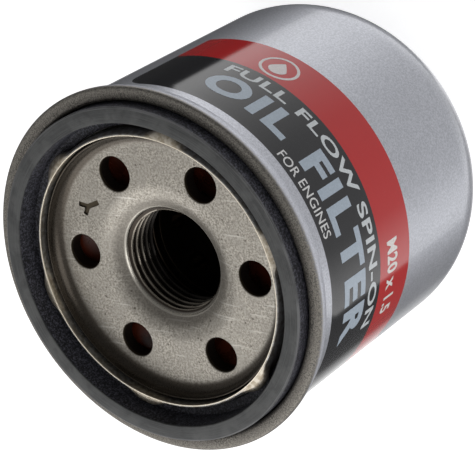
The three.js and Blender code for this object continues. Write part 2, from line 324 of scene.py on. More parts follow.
labelStyle = {  # start in degrees, the rest in millimetres, with the can standing on its closed end
    "start": 10.5, "length": 180.0, "lower": 34.4, "divide": 44.4, "upper": 60.3, "corner": 4.2,
    "softEdge": 0.04,
    "black": (0.011, 0.011, 0.013), "red": (0.40, 0.012, 0.013), "dust": (0.25, 0.25, 0.26),
}
paintStyle = {
    "flakeDark": (0.40, 0.412, 0.455), "flakeLight": (0.56, 0.572, 0.625), "cloud": (0.38, 0.39, 0.43),
    "silverRough": 0.35, "inkRough": 0.09, "silverCoat": 0.40, "inkCoat": 0.20, "silverMetal": 0.72,
}


def canPaint():
    s, label = paintStyle, labelStyle
    f = Finish("printedCanPaint", IOR=1.42, Coat_Roughness=0.03, Coat_IOR=1.45)
    angle, z = f.polar()[1:]
    turn = f.math("SUBTRACT", math.radians(label["start"]), angle)
    along = f.math("MULTIPLY", f.math("FLOORED_MODULO", turn, 2 * math.pi), canRadius)
    corner, soft = label["corner"], label["softEdge"]
    halfLong = label["length"] / 2
    lower, upper = label["lower"], label["upper"]
    halfTall = (upper - lower) / 2 + corner  # reaches past the lower edge, which is cut off straight
    middle = upper - halfTall
    offset = f.join(f.math("SUBTRACT", along, halfLong), f.math("SUBTRACT", z, middle))
    offset = f.vector("SUBTRACT", f.vector("ABSOLUTE", offset), (halfLong - corner, halfTall - corner, 0))
    distance = f.math("SUBTRACT", f.vector("LENGTH", f.vector("MAXIMUM", offset, (0, 0, 0))), corner)
    printed = f.math("MULTIPLY", f.ramp(distance, soft, -soft), f.ramp(z, lower - soft, lower + soft))
    redPart = f.ramp(z, label["divide"] + soft, label["divide"] - soft)
    flakes = f.noise(0.34, detail=4, roughness=0.75)
    cloud = f.noise(9, detail=2)
    silver = f.blend(f.ramp(flakes, 0.38, 0.62), s["flakeDark"], s["flakeLight"])
    silver = f.blend(f.math("MULTIPLY", f.ramp(cloud, 0.35, 0.65), 0.12), silver, s["cloud"])
    ink = f.blend(redPart, label["black"], label["red"])
    dust = f.ramp(f.noise(0.5, detail=5), 0.66, 0.78)
    ink = f.blend(f.math("MULTIPLY", dust, 0.10), ink, label["dust"])
    scuffs = f.ramp(f.noise(1.0, detail=4, vector=f.stretch((900, 900, 60), (0.5, 0.2, 0.3))), 0.62, 0.75)
    peel = f.bump(f.noise(1.6, detail=1), 0.035, 0.05)
    grain = f.bump(flakes, 0.05, 0.02, after=peel)
    rough = f.blendValue(printed, s["silverRough"], s["inkRough"])
    rough = f.math("ADD", rough, f.math("MULTIPLY", scuffs, 0.08))
    return f.use(
        Base_Color=f.blend(printed, silver, ink), Metallic=f.blendValue(printed, s["silverMetal"], 0.0),
        Roughness=rough, Coat_Weight=f.blendValue(printed, s["silverCoat"], s["inkCoat"]), Normal=grain)


seamFinish = {
    "grainDark": (0.058, 0.054, 0.048), "grainLight": (0.25, 0.232, 0.205), "patch": (0.17, 0.155, 0.14),
    "edgeDark": (0.15, 0.14, 0.12), "edgeLight": (0.50, 0.47, 0.42),  # the steel turned over the outer edge
    "lip": (0.36, 0.355, 0.345), "stake": (0.56, 0.51, 0.43), "lipWear": (0.62, 0.58, 0.52),
    "cutEdgeHighlight": (0.86, 0.78, 0.64),
    "thinPaint": (0.3588, 0.3666, 0.4056), "thickPaint": (0.552, 0.564, 0.624),
}


def seamSteel():
    s = seamFinish
    f = Finish("grainySeamSteel", IOR=1.5)
    radius, angle, z = f.polar()
    grain = f.noise(0.26, detail=4, roughness=0.7)
    patch = f.noise(2.5, detail=3)
    steel = f.blend(f.ramp(grain, 0.40, 0.62), s["grainDark"], s["grainLight"])
    steel = f.blend(f.math("MULTIPLY", f.ramp(patch, 0.4, 0.65), 0.45), steel, s["patch"])
    worn = f.math("ADD", z, f.math("MULTIPLY", f.math("SUBTRACT", grain, 0.5), 2.2))
    painted = f.math("MULTIPLY", f.ramp(worn, seamTop - 0.2, seamTop - 0.95), f.ramp(radius, 31.9, 32.2))
    turnedOver = f.math("MULTIPLY", f.ramp(worn, seamTop + 0.5, seamTop - 0.2), f.ramp(radius, 31.9, 33.0))
    edge = f.blend(f.ramp(grain, 0.38, 0.62), s["edgeDark"], s["edgeLight"])
    steel = f.blend(f.math("MULTIPLY", turnedOver, 0.5), steel, edge)
    lip = f.ramp(radius, 27.0, 26.6)
    fromStake = f.math("SUBTRACT", angle, math.radians(lidStyle["firstStake"]))
    nearStake = f.math("COSINE", f.math("MULTIPLY", fromStake, lidStyle["stakes"]))
    # painted highlight: the lip is made a lighter beige at the stakes
    lipColor = f.blend(f.ramp(nearStake, 0.35, 0.85), s["lip"], s["stake"])
    lipColor = f.blend(f.ramp(f.noise(0.8, detail=3), 0.62, 0.38), lipColor, s["lipWear"], "MULTIPLY")
    # the cut edge of the sheet, lightened to cream as a painted highlight
    cutEdgeHighlight = f.math("MULTIPLY", f.ramp(radius, 25.12, 25.0), f.ramp(z, seamTop - 0.35, seamTop - 0.1))
    color = f.blend(lip, steel, lipColor)
    color = f.blend(cutEdgeHighlight, color, s["cutEdgeHighlight"])
    color = f.blend(painted, color, f.blend(f.ramp(grain, 0.36, 0.56), s["thinPaint"], s["thickPaint"]))
    rough = f.blendValue(lip, 0.52, 0.34)
    rough = f.math("MULTIPLY", rough, f.blendValue(painted, 1.0, 0.75))
    drawn = f.noise(1.0, detail=3, vector=f.around(radius, angle, z, bands=9.0, turns=4.0))
    height = f.bump(grain, 0.35, 0.06, after=f.bump(drawn, 0.10, 0.05))
    metal = f.blendValue(painted, 0.82, 0.5)
    return f.use(Base_Color=color, Metallic=metal, Roughness=rough, Normal=height)


plateFinish = {
    "grainDark": (0.225, 0.205, 0.175), "grainLight": (0.59, 0.552, 0.487), "patch": (0.37, 0.345, 0.305),
    # the wall colour is painted shade on the side of the recess
    "scratch": (0.80, 0.77, 0.71), "speck": (0.07, 0.055, 0.04), "wall": (0.050, 0.040, 0.030),
    "holeShade": (0.022, 0.014, 0.010), "funnelShade": (0.15, 0.135, 0.115), "threadCrestHighlight": (0.40, 0.36, 0.30),
    "threadGrooveShade": (0.030, 0.022, 0.016), "boreDepthShade": (0.008, 0.006, 0.005),
    "mouthHighlightColor": (0.74, 0.70, 0.62), "mark": (0.07, 0.055, 0.035),
}


def plateSteel():
    s = plateFinish
    f = Finish("mottledPlateSteel", IOR=1.5)
    radius, z = f.polar()[::2]
    grain = f.noise(0.38, detail=5, roughness=0.7)
    patch = f.noise(3.5, detail=4, distortion=0.4)
    color = f.blend(f.ramp(grain, 0.36, 0.66), s["grainDark"], s["grainLight"])
    color = f.blend(f.math("MULTIPLY", f.ramp(patch, 0.38, 0.68), 0.55), color, s["patch"])
    scratches = None
    for turn, stretchScale in ((0.4, (1700, 90, 90)), (1.9, (2100, 110, 110)), (2.8, (1500, 70, 70))):
        line = f.ramp(f.noise(1.0, detail=2, vector=f.stretch(stretchScale, (0, 0, turn))), 0.66, 0.72)
        scratches = line if scratches is None else f.math("MAXIMUM", scratches, line)
    specks = f.ramp(f.cells(1.5), 0.17, 0.10)
    specks = f.math("MULTIPLY", specks, f.ramp(f.noise(2.2, detail=1), 0.50, 0.56))
    color = f.blend(f.math("MULTIPLY", scratches, 0.42), color, s["scratch"])
    color = f.blend(f.math("MULTIPLY", specks, 0.75), color, s["speck"])
    wall = f.ramp(radius, 21.8, 23.0)  # the side of the recess, made near black as painted shade
    color = f.blend(f.math("MULTIPLY", wall, 0.94), color, s["wall"])
    # painted shade: the walls of the six holes are made near black
    holeShade = f.math("MULTIPLY", f.ramp(z, plateFace - 0.22, plateFace - 0.7), f.ramp(radius, 14.2, 14.6))
    holeShade = f.math("MULTIPLY", holeShade, f.ramp(radius, 22.2, 21.8))
    color = f.blend(f.math("MULTIPLY", holeShade, 0.97), color, s["holeShade"])
    bore = f.ramp(radius, 10.5, 10.1)
    # painted highlight: a light ring at the mouth of the bore
    mouthHighlight = f.math("MULTIPLY", f.ramp(radius, 10.5, 10.2), f.ramp(z, plateFace - 1.95, plateFace - 1.6))
    # painted shade: the funnel round the bore is darkened
    funnelShade = f.math("MULTIPLY", f.ramp(radius, 12.9, 11.0), 0.62)
    color = f.blend(funnelShade, color, s["funnelShade"])
    # painted light and shade in the bore: light thread crests, near black grooves, and near black further
    # down
    depth = f.ramp(z, plateFace - 7.5, plateFace - 2.6)
    threadLightAndShade = f.blend(f.ramp(radius, 9.24, 9.50), s["threadCrestHighlight"], s["threadGrooveShade"])
    color = f.blend(f.math("MULTIPLY", bore, 0.97), color, f.blend(depth, s["boreDepthShade"], threadLightAndShade))
    color = f.blend(mouthHighlight, color, s["mouthHighlightColor"])
    mark = f.math("MULTIPLY", f.ramp(z, plateFace - 0.06, plateFace - 0.14), f.ramp(radius, 14.5, 15.0))
    mark = f.math("MULTIPLY", mark, f.ramp(radius, 21.8, 21.4))
    mark = f.math("MULTIPLY", mark, f.ramp(z, plateFace - 0.6, plateFace - 0.5))
    color = f.blend(mark, color, s["mark"])
    height = f.bump(grain, 0.22, 0.05, after=f.bump(scratches, 0.15, 0.02))
    rough = f.math("MULTIPLY_ADD", grain, 0.25, 0.33)
    rough = f.math("MULTIPLY", rough, f.blendValue(f.math("MAXIMUM", wall, bore), 1.0, 0.62))
    return f.use(Base_Color=color, Metallic=0.78, Roughness=rough, Normal=height)


def pressedSteel(name, dark, light, roughness=0.32, grainSize=0.5, bands=14.0, shadeInside=None):
    f = Finish(name, IOR=1.5)
    radius, angle, z = f.polar()
    drawn = f.noise(1.0, detail=3, vector=f.around(radius, angle, z, bands=bands, turns=2.5))
    grain = f.noise(grainSize, detail=4, roughness=0.6)
    color = f.blend(f.ramp(drawn, 0.35, 0.65), dark, light)
    color = f.blend(f.math("MULTIPLY", f.ramp(grain, 0.55, 0.75), 0.4), color, dark)
    # painted shade: near black inside the given radius
    if shadeInside:
        color = f.blend(f.ramp(radius, shadeInside + 0.8, shadeInside), color, (0.018, 0.013, 0.009))
    rough = f.math("MULTIPLY_ADD", grain, 0.2, roughness - 0.1)
    height = f.bump(drawn, 0.08, 0.03, after=f.bump(grain, 0.08, 0.02))
    return f.use(Base_Color=color, Metallic=0.92, Roughness=rough, Normal=height)


gasketFinish = {
    "streakDark": (0.022, 0.023, 0.0235), "streakLight": (0.060, 0.062, 0.062),
    "bloom": (0.095, 0.097, 0.095), "smear": (0.020, 0.020, 0.021), "rimHighlight": (0.17, 0.17, 0.175),
    "sideDark": (0.012, 0.012, 0.015), "sideGlint": (0.115, 0.115, 0.145),
}


def gasketRubber():
    s = gasketFinish
    f = Finish("nitrileGasket", IOR=1.5)
    radius, angle, z = f.polar()
    streaks = f.noise(1.0, detail=5, roughness=0.65, vector=f.around(radius, angle, z, bands=11.0, turns=4.0))
    bloom = f.noise(5, detail=3)
    rind = f.noise(0.35, detail=4, roughness=0.7)
    top = f.ramp(z, gasketTop - 0.25, gasketTop - 0.08)
    color = f.blend(f.ramp(streaks, 0.38, 0.62), s["streakDark"], s["streakLight"])
    color = f.blend(f.math("MULTIPLY", f.ramp(bloom, 0.40, 0.64), 0.55), color, s["bloom"])
    smear = f.ramp(f.noise(2.2, detail=4, roughness=0.6, distortion=0.6), 0.52, 0.70)
    color = f.blend(f.math("MULTIPLY", smear, 0.5), color, s["smear"])
    # the light bluish specks on the sides are painted glints on the black rubber
    side = f.blend(f.ramp(rind, 0.44, 0.64), s["sideDark"], s["sideGlint"])
    color = f.blend(top, side, color)
    # painted highlight: a thin light line along the outer top edge of the gasket
    rim = f.math("MULTIPLY", f.ramp(radius, 30.38, 30.62), f.ramp(z, gasketTop - 0.55, gasketTop - 0.2))
    color = f.blend(f.math("MULTIPLY", rim, f.ramp(streaks, 0.36, 0.60, 0.15, 0.85)), color, s["rimHighlight"])
    nicks = f.ramp(f.noise(1.0, detail=2, vector=f.stretch((300, 60, 60), (0, 0, 0.9))), 0.70, 0.74)
    height = f.bump(streaks, 0.10, 0.03, after=f.bump(rind, 0.35, 0.08))
    height = f.bump(nicks, 0.2, 0.03, after=height)
    innerEdge = f.ramp(radius, 28.15, 28.0)
    rough = f.math("MULTIPLY_ADD", innerEdge, 0.2, f.blendValue(top, 0.50, 0.46))
    return f.use(Base_Color=color, Roughness=rough, Normal=height)


def mouldedRubber(name, dark, light, roughness):
    f = Finish(name, IOR=1.47)
    cloud = f.noise(3.0, detail=3)
    grain = f.noise(0.25, detail=3)
    color = f.blend(f.ramp(cloud, 0.35, 0.65), dark, light)
    rough = f.math("MULTIPLY_ADD", cloud, 0.15, roughness - 0.07)
    return f.use(Base_Color=color, Roughness=rough, Normal=f.bump(grain, 0.12, 0.03))


paperFinish = {
    "dark": (0.34, 0.215, 0.075), "light": (0.52, 0.36, 0.15), "cloud": (0.26, 0.155, 0.05),
    "shadeNearTube": (0.045, 0.024, 0.010),
}


def filterPaper():
    s = paperFinish
    f = Finish("resinPaper", IOR=1.4)
    fibres = f.noise(1.0, detail=5, roughness=0.7, vector=f.stretch((3200, 3200, 900)))
    cloud = f.noise(4, detail=3)
    color = f.blend(f.ramp(fibres, 0.35, 0.65), s["dark"], s["light"])
    color = f.blend(f.math("MULTIPLY", f.ramp(cloud, 0.4, 0.65), 0.3), color, s["cloud"])
    radius = f.polar()[0]
    # painted shade: the paper is made near black close to the tube
    color = f.blend(f.ramp(radius, 15.5, 13.0), color, s["shadeNearTube"])
    return f.use(Base_Color=color, Roughness=0.85, Normal=f.bump(fibres, 0.3, 0.05))


def curedGlue(dark, light):
    f = Finish("curedGlue", IOR=1.5)
    cloud = f.noise(2.0, detail=3)
    color = f.blend(f.ramp(cloud, 0.35, 0.65), dark, light)
    rough = f.math("MULTIPLY_ADD", cloud, 0.2, 0.12)
    return f.use(Base_Color=color, Roughness=rough, Normal=f.bump(cloud, 0.2, 0.2))


def printInk(name, color):
    f = Finish(name, IOR=1.4)
    wear = f.noise(0.3, detail=4)
    wornColor = tuple(c * 0.86 for c in color)
    inkColor = f.blend(f.ramp(wear, 0.4, 0.7), wornColor, color)
    return f.use(Base_Color=inkColor, Roughness=0.24, Normal=f.bump(wear, 0.03, 0.02))


paint = canPaint()
plateMetal = plateSteel()
gasketBlack = gasketRubber()
valveBrown = mouldedRubber("redBrownRubber", (0.052, 0.010, 0.0045), (0.125, 0.023, 0.009), 0.27)
sealBlack = mouldedRubber("blackValveRubber", (0.014, 0.014, 0.015), (0.035, 0.035, 0.036), 0.45)
compoundGrey = mouldedRubber("seamCompound", (0.02, 0.02, 0.021), (0.045, 0.045, 0.047), 0.65)
capTin = pressedSteel("tinnedCap", (0.45, 0.43, 0.38), (0.66, 0.64, 0.58), shadeInside=12.6)
# painted shade: the tube's steel is made near black
tubeSteelInShade = pressedSteel("punchedTubeInShade", (0.020, 0.014, 0.009), (0.055, 0.038, 0.024), 0.36)
valveTin = pressedSteel("valveSteel", (0.33, 0.33, 0.32), (0.56, 0.56, 0.54), 0.28)
springWire = pressedSteel("springSteel", (0.13, 0.13, 0.135), (0.34, 0.34, 0.35), 0.26)
paper = filterPaper()
glue = curedGlue((0.42, 0.19, 0.03), (0.60, 0.33, 0.08))
print("materials made")


canStyle = {
    "sheet": 0.55, "dish": 0.9, "ringInner": 12.0, "shoulder": 14.2, "wallTop": 1.45, "flangeLow": 1.9,
    "flangeTop": 1.1, "steps": 256,
}


def makeCan():  # its flange lies loose in the roll of the seam
    s = canStyle
    sheet, dish, ring, shoulder = s["sheet"], s["dish"], s["ringInner"], s["shoulder"]
    wallTop, flangeLow, flangeTop = (seamTop - s[key] for key in ("wallTop", "flangeLow", "flangeTop"))
    outside, inside = canRadius + 0.55, canRadius - sheet
    bm = turned([
        (0, dish), (ring - 2.5, dish, 1.2), (ring, 0, 1.2), (canRadius, 0, shoulder),
        (canRadius, wallTop, 0.08), (canRadius + 0.25, wallTop, 0.08), (canRadius + 0.25, flangeLow, 0.08),
        (outside, flangeLow, 0.08), (outside, flangeTop, 0.3), (inside, flangeTop, 0.3),
        (inside, sheet, shoulder - sheet), (ring, sheet, 1.0), (ring - 2.5, dish + sheet, 1.0),
        (0, dish + sheet)], steps=s["steps"], longest=6)
    finishPiece("canShell", bm, paint, "housing", ["canister"], 40)


makeCan()
print("can made")


lidStyle = {
    "lip": 24.9, "channel": 4.0, "wall": 2.65, "stakes": 6, "stakePush": 1.25, "stakeDrop": 0.2,
    "firstStake": 47.0, "stakeWidth": 10.5,  # both in degrees
}
bareSeam = seamSteel()


def makeLid():  # lip, gasket channel and rolled seam, with the lip staked over the plate
    s = lidStyle
    lip, top, outer = s["lip"], seamTop, seamRadius
    channel = top - s["channel"]
    wall = outer - s["wall"]
    bm = turned([
        (lip, top, 0.05), (lip, channel - 0.5, 0.2), (outer - 2.1, channel - 0.55, 0.4),
        (outer - 2.1, top - 0.55, 0.25), (outer - 0.55, top - 0.55, 0.45), (outer - 0.55, top - 1.2, 0.3),
        (outer - 1.0, top - 2.35, 0.3),
        (outer - 1.34, top - 3.15, 0.05), (outer - 1.34, top - 3.75, 0.12), (outer - 0.6, top - 2.65, 0.6),
        (outer, top - 1.25, 0.7), (outer, top, 1.05), (wall, top, 0.75), (wall, channel, 0.55),
        (lip + 0.75, channel, 0.4), (lip + 0.8, top - 0.42, 0.55), (lip + 0.32, top, 0.22)],
        steps=360, segments=6, longest=0.6)
    step = 360 / s["stakes"]
    for v in bm.verts:
        r = radiusOf(v)
        if r > lip + 1.3 or v.co.z < channel + 1.3:
            continue
        angle = math.degrees(math.atan2(v.co.y, v.co.x))
        away = abs((angle - s["firstStake"] + step / 2) % step - step / 2)
        amount = smoothStep(s["stakeWidth"] - away, 0, s["stakeWidth"] * 0.85)
        reach = smoothStep(v.co.z, channel + 1.3, top - 0.9) * amount
        across = smoothStep(r, lip + 0.02, lip + 0.7)
        moveRadially(v, s["stakePush"] * reach * across)
        v.co.z -= s["stakeDrop"] * reach * across
    finishPiece("seamingLid", bm, bareSeam, "housing", ["gasket_retainer"], 50)


# distances inwards and down from the edge of the seam
compoundStyle = {"inner": 1.85, "outer": 0.8, "top": 0.6, "bottom": 1.05, "rounding": 0.1}


def squareRing(inner, outer, bottom, top, rounding, **howTurned):
    corners = [(inner, bottom), (outer, bottom), (outer, top), (inner, top)]
    return turned([(*corner, rounding) for corner in corners], **howTurned)


def makeCompound():
    s = compoundStyle
    inner, outer = seamRadius - s["inner"], seamRadius - s["outer"]
    bm = squareRing(inner, outer, seamTop - s["bottom"], seamTop - s["top"], s["rounding"], steps=128)
    finishPiece("seamCompound", bm, compoundGrey, "housing", ["seam_compound"])


makeLid()
makeCompound()
print("seam made")


plateStyle = {
    "minor": 9.2, "major": 10.0, "pitch": 1.5, "hub": 12.4, "recess": 24.6, "holes": 6, "holeCircle": 18.2,
    "hole": 3.2, "firstHole": 30.0, "skirt": 30.75, "skirtStep": 0.85, "threadStep": 0.125, "threadSteps": 58,
}
markStyle = {  # each arm has a bearing in degrees and a length
    "place": (8.9, 16.0), "width": 0.95, "depth": 0.3, "rounding": 0.15,
    "arms": ((81, 2.1), (153, 1.9), (293, 2.7)),
}


def threadProfile(phase):  # 0 in the groove, 1 on the ridge
    p = phase % 1.0
    return smoothStep(0.5 - abs(p - 0.5), 0.10, 0.42)


def punchMark():  # a plain mark with three arms, as one outline
    s = markStyle
    half = s["width"] / 2
    arms = s["arms"]
    points = []
    for k, (bearing, length) in enumerate(arms):
        nextBearing = arms[(k + 1) % len(arms)][0]
        halfGap = math.radians((nextBearing - bearing) % 360 / 2)
        tip = half / length
        for turn, reach in ((-tip, length), (tip, length), (halfGap, half / math.sin(halfGap))):
            angle = math.radians(bearing) + turn
            x = s["place"][0] + reach * math.cos(angle)
            y = s["place"][1] + reach * math.sin(angle)
            points.append((x, y, s["rounding"]))
    return pushed(points, plateFace - s["depth"], plateFace + 0.5, segments=3)


def makePlate():
    s = plateStyle
    bore, hub, recess = s["major"], s["hub"], s["recess"]
    skirt, step = s["skirt"], plateFace - s["skirtStep"]
    rim = plateFace + rimHeight
    threadTop = plateFace - 1.85
    bm = turned([
        (bore, hubBottom, 0.35), (hub, hubBottom, 0.4), (hub, plateInside, 1.3),
        (recess - 0.6, plateInside, 0.5), (recess + 0.3, plateInside - 0.5, 0.4),
        (skirt, plateInside - 0.5, 0.3), (skirt, step, 0.2),
        (recess, step, 0.1), (recess, rim, 0.1), (recess - 0.3, rim, 0.1),
        (recess - 0.3, plateFace, 2.2), (13.2, plateFace, 1.5), (bore + 0.1, plateFace - 1.5, 0.3),
        *((bore, threadTop - s["threadStep"] * k) for k in range(s["threadSteps"]))], steps=288, longest=0.55)
    lowest, highest = hubBottom + 0.3, plateFace - 1.7
    for v in bm.verts:
        if radiusOf(v) > bore + 0.05 or not lowest <= v.co.z <= highest:
            continue
        turnPart = math.atan2(v.co.y, v.co.x) / (2 * math.pi)
        fade = smoothStep(v.co.z, lowest, lowest + 0.9) * smoothStep(highest - v.co.z, 0, 0.5)
        moveRadially(v, (s["minor"] - s["major"]) * fade * threadProfile(v.co.z / s["pitch"] - turnPart))
    piece = finishPiece("threadedPlate", bm, plateMetal, "housing", ["base_plate"], 40)
    hole = s["hole"]
    holes = ringOfCutters([
        (0, plateInside - 1.4), (hole + 0.5, plateInside - 1.4), (hole + 0.5, plateInside - 0.05),
        (hole, plateInside + 0.2, 0.15), (hole, plateFace - 0.16, 0.14),
        (hole + 0.34, plateFace + 0.08, 0.12), (hole + 0.34, plateFace + 1.2), (0, plateFace + 1.2)],
        s["holes"], s["holeCircle"], s["firstHole"], steps=64)
    subtractPiece(piece, holes)
    subtractPiece(piece, punchMark())


makePlate()
print("base plate made")


gasketStyle = {"inner": 27.9, "outer": 30.8, "foot": 26.1, "floor": 3.9}


def makeGasket():  # square above, with a wider foot that the channel holds
    s = gasketStyle
    floor = seamTop - s["floor"]
    bm = turned([
        (s["foot"], floor, 0.15), (s["outer"], floor, 0.35), (s["outer"], gasketTop, 0.28),
        (s["inner"], gasketTop, 0.22), (s["inner"] - 0.1, floor + 1.55, 0.25), (s["foot"], floor + 1.2, 0.2)],
        steps=360, segments=6, longest=1.5)
    finishPiece("faceGasket", bm, gasketBlack, "housing", ["sealing_gasket"], 60)


valveStyle = {"bore": 12.7, "foot": 17.0, "waist": 14.4, "lip": 23.4, "hinge": 2.6}


def makeValve():  # collar round the hub and the flap, in one moulding
    s = valveStyle
    bore, foot, waist, lip = s["bore"], s["foot"], s["waist"], s["lip"]
    base = low("anti_drain_collar").z
    flap = high("anti_drain_flap").z
    bm = turned([
        (bore, base, 0.3), (foot, base, 0.35), (foot, base + 1.2, 0.4), (waist, base + 1.8, 0.7),
        (waist, base + 3.9, 0.7), (lip - 0.6, flap - 1.0, 0.3), (lip, flap - 0.9, 0.25), (lip, flap, 0.3),
        (lip - 1.0, flap, 0.35), (waist + 0.2, flap - 2.75, 0.6), (bore, flap - 2.7, 0.4)],
        steps=160, segments=4, longest=0.7)
    piece = finishPiece(
        "antiDrainValve", bm, valveBrown, None, ["anti_drain_collar", "anti_drain_flap"], 50)
    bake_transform(piece)


makeGasket()
makeValve()
print("rubber made")


paperStyle = {
    "folds": 45, "outer": 26.6, "inner": 12.9, "tipOut": 0.62, "tipIn": 0.30, "rounding": 0.26,
    "thickness": 0.55, "seamAngle": 200.0, "seamTip": 25.3, "levels": 6,
}


def makePaper():  # one closed zigzag, whose fold at the clip is shorter
    s = paperStyle
    points = []
    for k in range(s["folds"]):
        for radius, width, part in (
                (s["inner"], s["tipIn"], -0.5), (s["outer"], s["tipOut"], 0.0),
                (s["outer"], -s["tipOut"], 0.0), (s["inner"], -s["tipIn"], 0.5)):
            if k == 0 and part == 0.0:
                radius, width = s["seamTip"], width * 0.9
            angle = math.radians(s["seamAngle"] + 360 / s["folds"] * (k + part)) - width / radius
            points.append((radius * math.cos(angle), radius * math.sin(angle), s["rounding"]))
    bm = bmesh.new()
    roundedFace(bm, points, 3, flat=True)
    bmesh.ops.delete(bm, geom=bm.faces[:], context="FACES_ONLY")
    bmesh.ops.translate(bm, vec=(0, 0, mediaLow), verts=bm.verts)
    rise = (mediaHigh - mediaLow) / s["levels"]
    edges = bm.edges[:]
    for k in range(s["levels"]):
        made = bmesh.ops.extrude_edge_only(bm, edges=edges)["geom"]
        raised = {v for v in made if isinstance(v, bmesh.types.BMVert)}
        edges = [e for e in made if isinstance(e, bmesh.types.BMEdge) and raised.issuperset(e.verts)]
        bmesh.ops.translate(bm, vec=(0, 0, rise), verts=list(raised))
    bmesh.ops.recalc_face_normals(bm, faces=bm.faces)
    bmesh.ops.solidify(bm, geom=bm.faces[:], thickness=-s["thickness"] / 2)
    bmesh.ops.recalc_face_normals(bm, faces=bm.faces)
    finishPiece("pleatedPaper", bm, paper, "element", ["pleated_media"], 50)


clipStyle = {"halfWidth": 1.65, "wall": 0.4, "inside": 21.7, "outsideTrim": 0.6}


def makeClip():  # a channel that holds the two ends of the paper
    s = clipStyle
    wide, wall, inside = s["halfWidth"], s["wall"], s["inside"]
    bottom, top = low("media_seam_clip"), high("media_seam_clip").z
    seam = math.radians(paperStyle["seamAngle"])
    outside = abs(bottom.x) / abs(math.cos(seam)) - s["outsideTrim"]  # how far it reaches from the axis
    bm = pushed([
        (inside, -wide, 0.1), (outside, -wide, 0.6), (outside, wide, 0.6), (inside, wide, 0.1),
        (inside, wide - wall, 0.1), (outside - wall, wide - wall, 0.3), (outside - wall, wall - wide, 0.3),
        (inside, wall - wide, 0.1)], bottom.z, top, rounding=0.08)
    bmesh.ops.rotate(bm, cent=(0, 0, 0), matrix=Matrix.Rotation(seam, 3, "Z"), verts=bm.verts)
    finishPiece("seamClip", bm, capTin, "element", ["media_seam_clip"])


tubeStyle = {"wall": 0.6, "columns": 8, "rows": 3, "hole": 2.1}


def makeTube():
    s = tubeStyle
    bottom, top = low("centre_tube").z, high("centre_tube").z
    bm = squareRing(tubeRadius - s["wall"], tubeRadius, bottom, top, 0.12, steps=128, longest=6)
    piece = finishPiece("centreTube", bm, tubeSteelInShade, "element", ["centre_tube"])
    hole = [(0, -1.5), (s["hole"], -1.5), (s["hole"], 1.5), (0, 1.5)]
    for row in range(s["rows"]):
        firstAngle = 180 / s["columns"] * (row % 2)
        middle = tubeRadius - s["wall"] / 2
        holes = ringOfCutters(hole, s["columns"], middle, firstAngle, steps=32, lying=True)
        height = bottom + (top - bottom) * (row + 0.5) / s["rows"]
        bmesh.ops.translate(holes, vec=(0, 0, height), verts=holes.verts)
        subtractPiece(piece, holes)


capStyle = {"sheet": 0.5, "rim": 3.1, "openHole": 11.4, "openCollar": 1.7, "closedHole": 6.6, "steps": 160}


def makeCaps():
    s = capStyle
    outer, inside = elementRadius, elementRadius - s["sheet"]
    hole, collar = s["openHole"], elementTop - s["openCollar"]
    under, rim = elementTop - s["sheet"], elementTop - s["rim"]
    bm = turned([
        (hole, collar, 0.1), (hole + 0.3, collar, 0.1), (hole + 0.3, under, 0.25), (inside, under, 0.3),
        (inside, rim, 0.1), (outer, rim, 0.1), (outer, elementTop, 0.6), (hole, elementTop, 0.5)],
        steps=s["steps"])
    finishPiece("openEndCap", bm, capTin, "element", ["open_end_cap"])
    hole, above, rim = s["closedHole"], elementBottom + s["sheet"], elementBottom + s["rim"]
    bm = turned([
        (hole, elementBottom, 0.15), (outer, elementBottom, 0.6), (outer, rim, 0.1), (inside, rim, 0.1),
        (inside, above, 0.3), (hole, above, 0.15)], steps=s["steps"])
    finishPiece("closedEndCap", bm, capTin, "element", ["closed_end_cap"])


glueStyle = {"inner": 12.2, "outer": 27.15, "rounding": 0.25}


def makeGlue():
    s = glueStyle
    for name, node in (("openEndGlue", "open_end_adhesive"), ("closedEndGlue", "closed_end_adhesive")):
        bottom, top = low(node).z, high(node).z
        bm = squareRing(s["inner"], s["outer"], bottom, top, s["rounding"], steps=128, longest=3)
        finishPiece(name, bm, glue, "element", [node])


makePaper()
makeClip()
makeTube()
makeCaps()
makeGlue()
print("element made")


seatStyle = {"bore": 5.2, "face": 6.3, "foot": 7.4, "flange": 11.0, "sheet": 0.7}


def makeSeat():
    s = seatStyle
    bottom = low("bypass_seat").z
    bm = turned([
        (s["bore"], bottom, 0.15), (s["flange"], bottom, 0.15), (s["flange"], bottom + s["sheet"], 0.2),
        (s["foot"], bottom + s["sheet"], 0.3), (s["face"], seatTop, 0.3), (s["bore"], seatTop, 0.3)],
        steps=96)
    finishPiece("bypassSeat", bm, valveTin, "element", ["bypass_seat"])


washerStyle = {"bore": 1.7, "radius": 7.2}


def makeWasher():
    s = washerStyle
    bottom, top = low("bypass_seal").z, high("bypass_seal").z
    bm = turned([
        (s["bore"], bottom, 0.1), (s["radius"], bottom, 0.3), (s["radius"], top, 0.2), (s["bore"], top, 0.1)],
        steps=96, longest=1.5)
    finishPiece("bypassWasher", bm, sealBlack, "bypass_poppet", ["bypass_seal"])


discStyle = {"bore": 1.7, "radius": 7.5, "sheet": 0.7, "bossFoot": 3.7, "boss": 3.0}


def makeDisc():
    s = discStyle
    bottom, bossTop = low("bypass_disc").z, high("bypass_disc").z
    face = bottom + s["sheet"]
    bm = turned([
        (s["bore"], bottom, 0.1), (s["radius"], bottom, 0.2), (s["radius"], face, 0.25),
        (s["bossFoot"], face, 0.3), (s["boss"], bossTop, 0.4), (s["bore"], bossTop, 0.15)],
        steps=96, longest=1.5)
    finishPiece("bypassDisc", bm, valveTin, "bypass_poppet", ["bypass_disc"])


rivetStyle = {"head": 2.9, "headHeight": 0.85, "shank": 1.6, "upset": 2.4, "upsetHeight": 0.8}


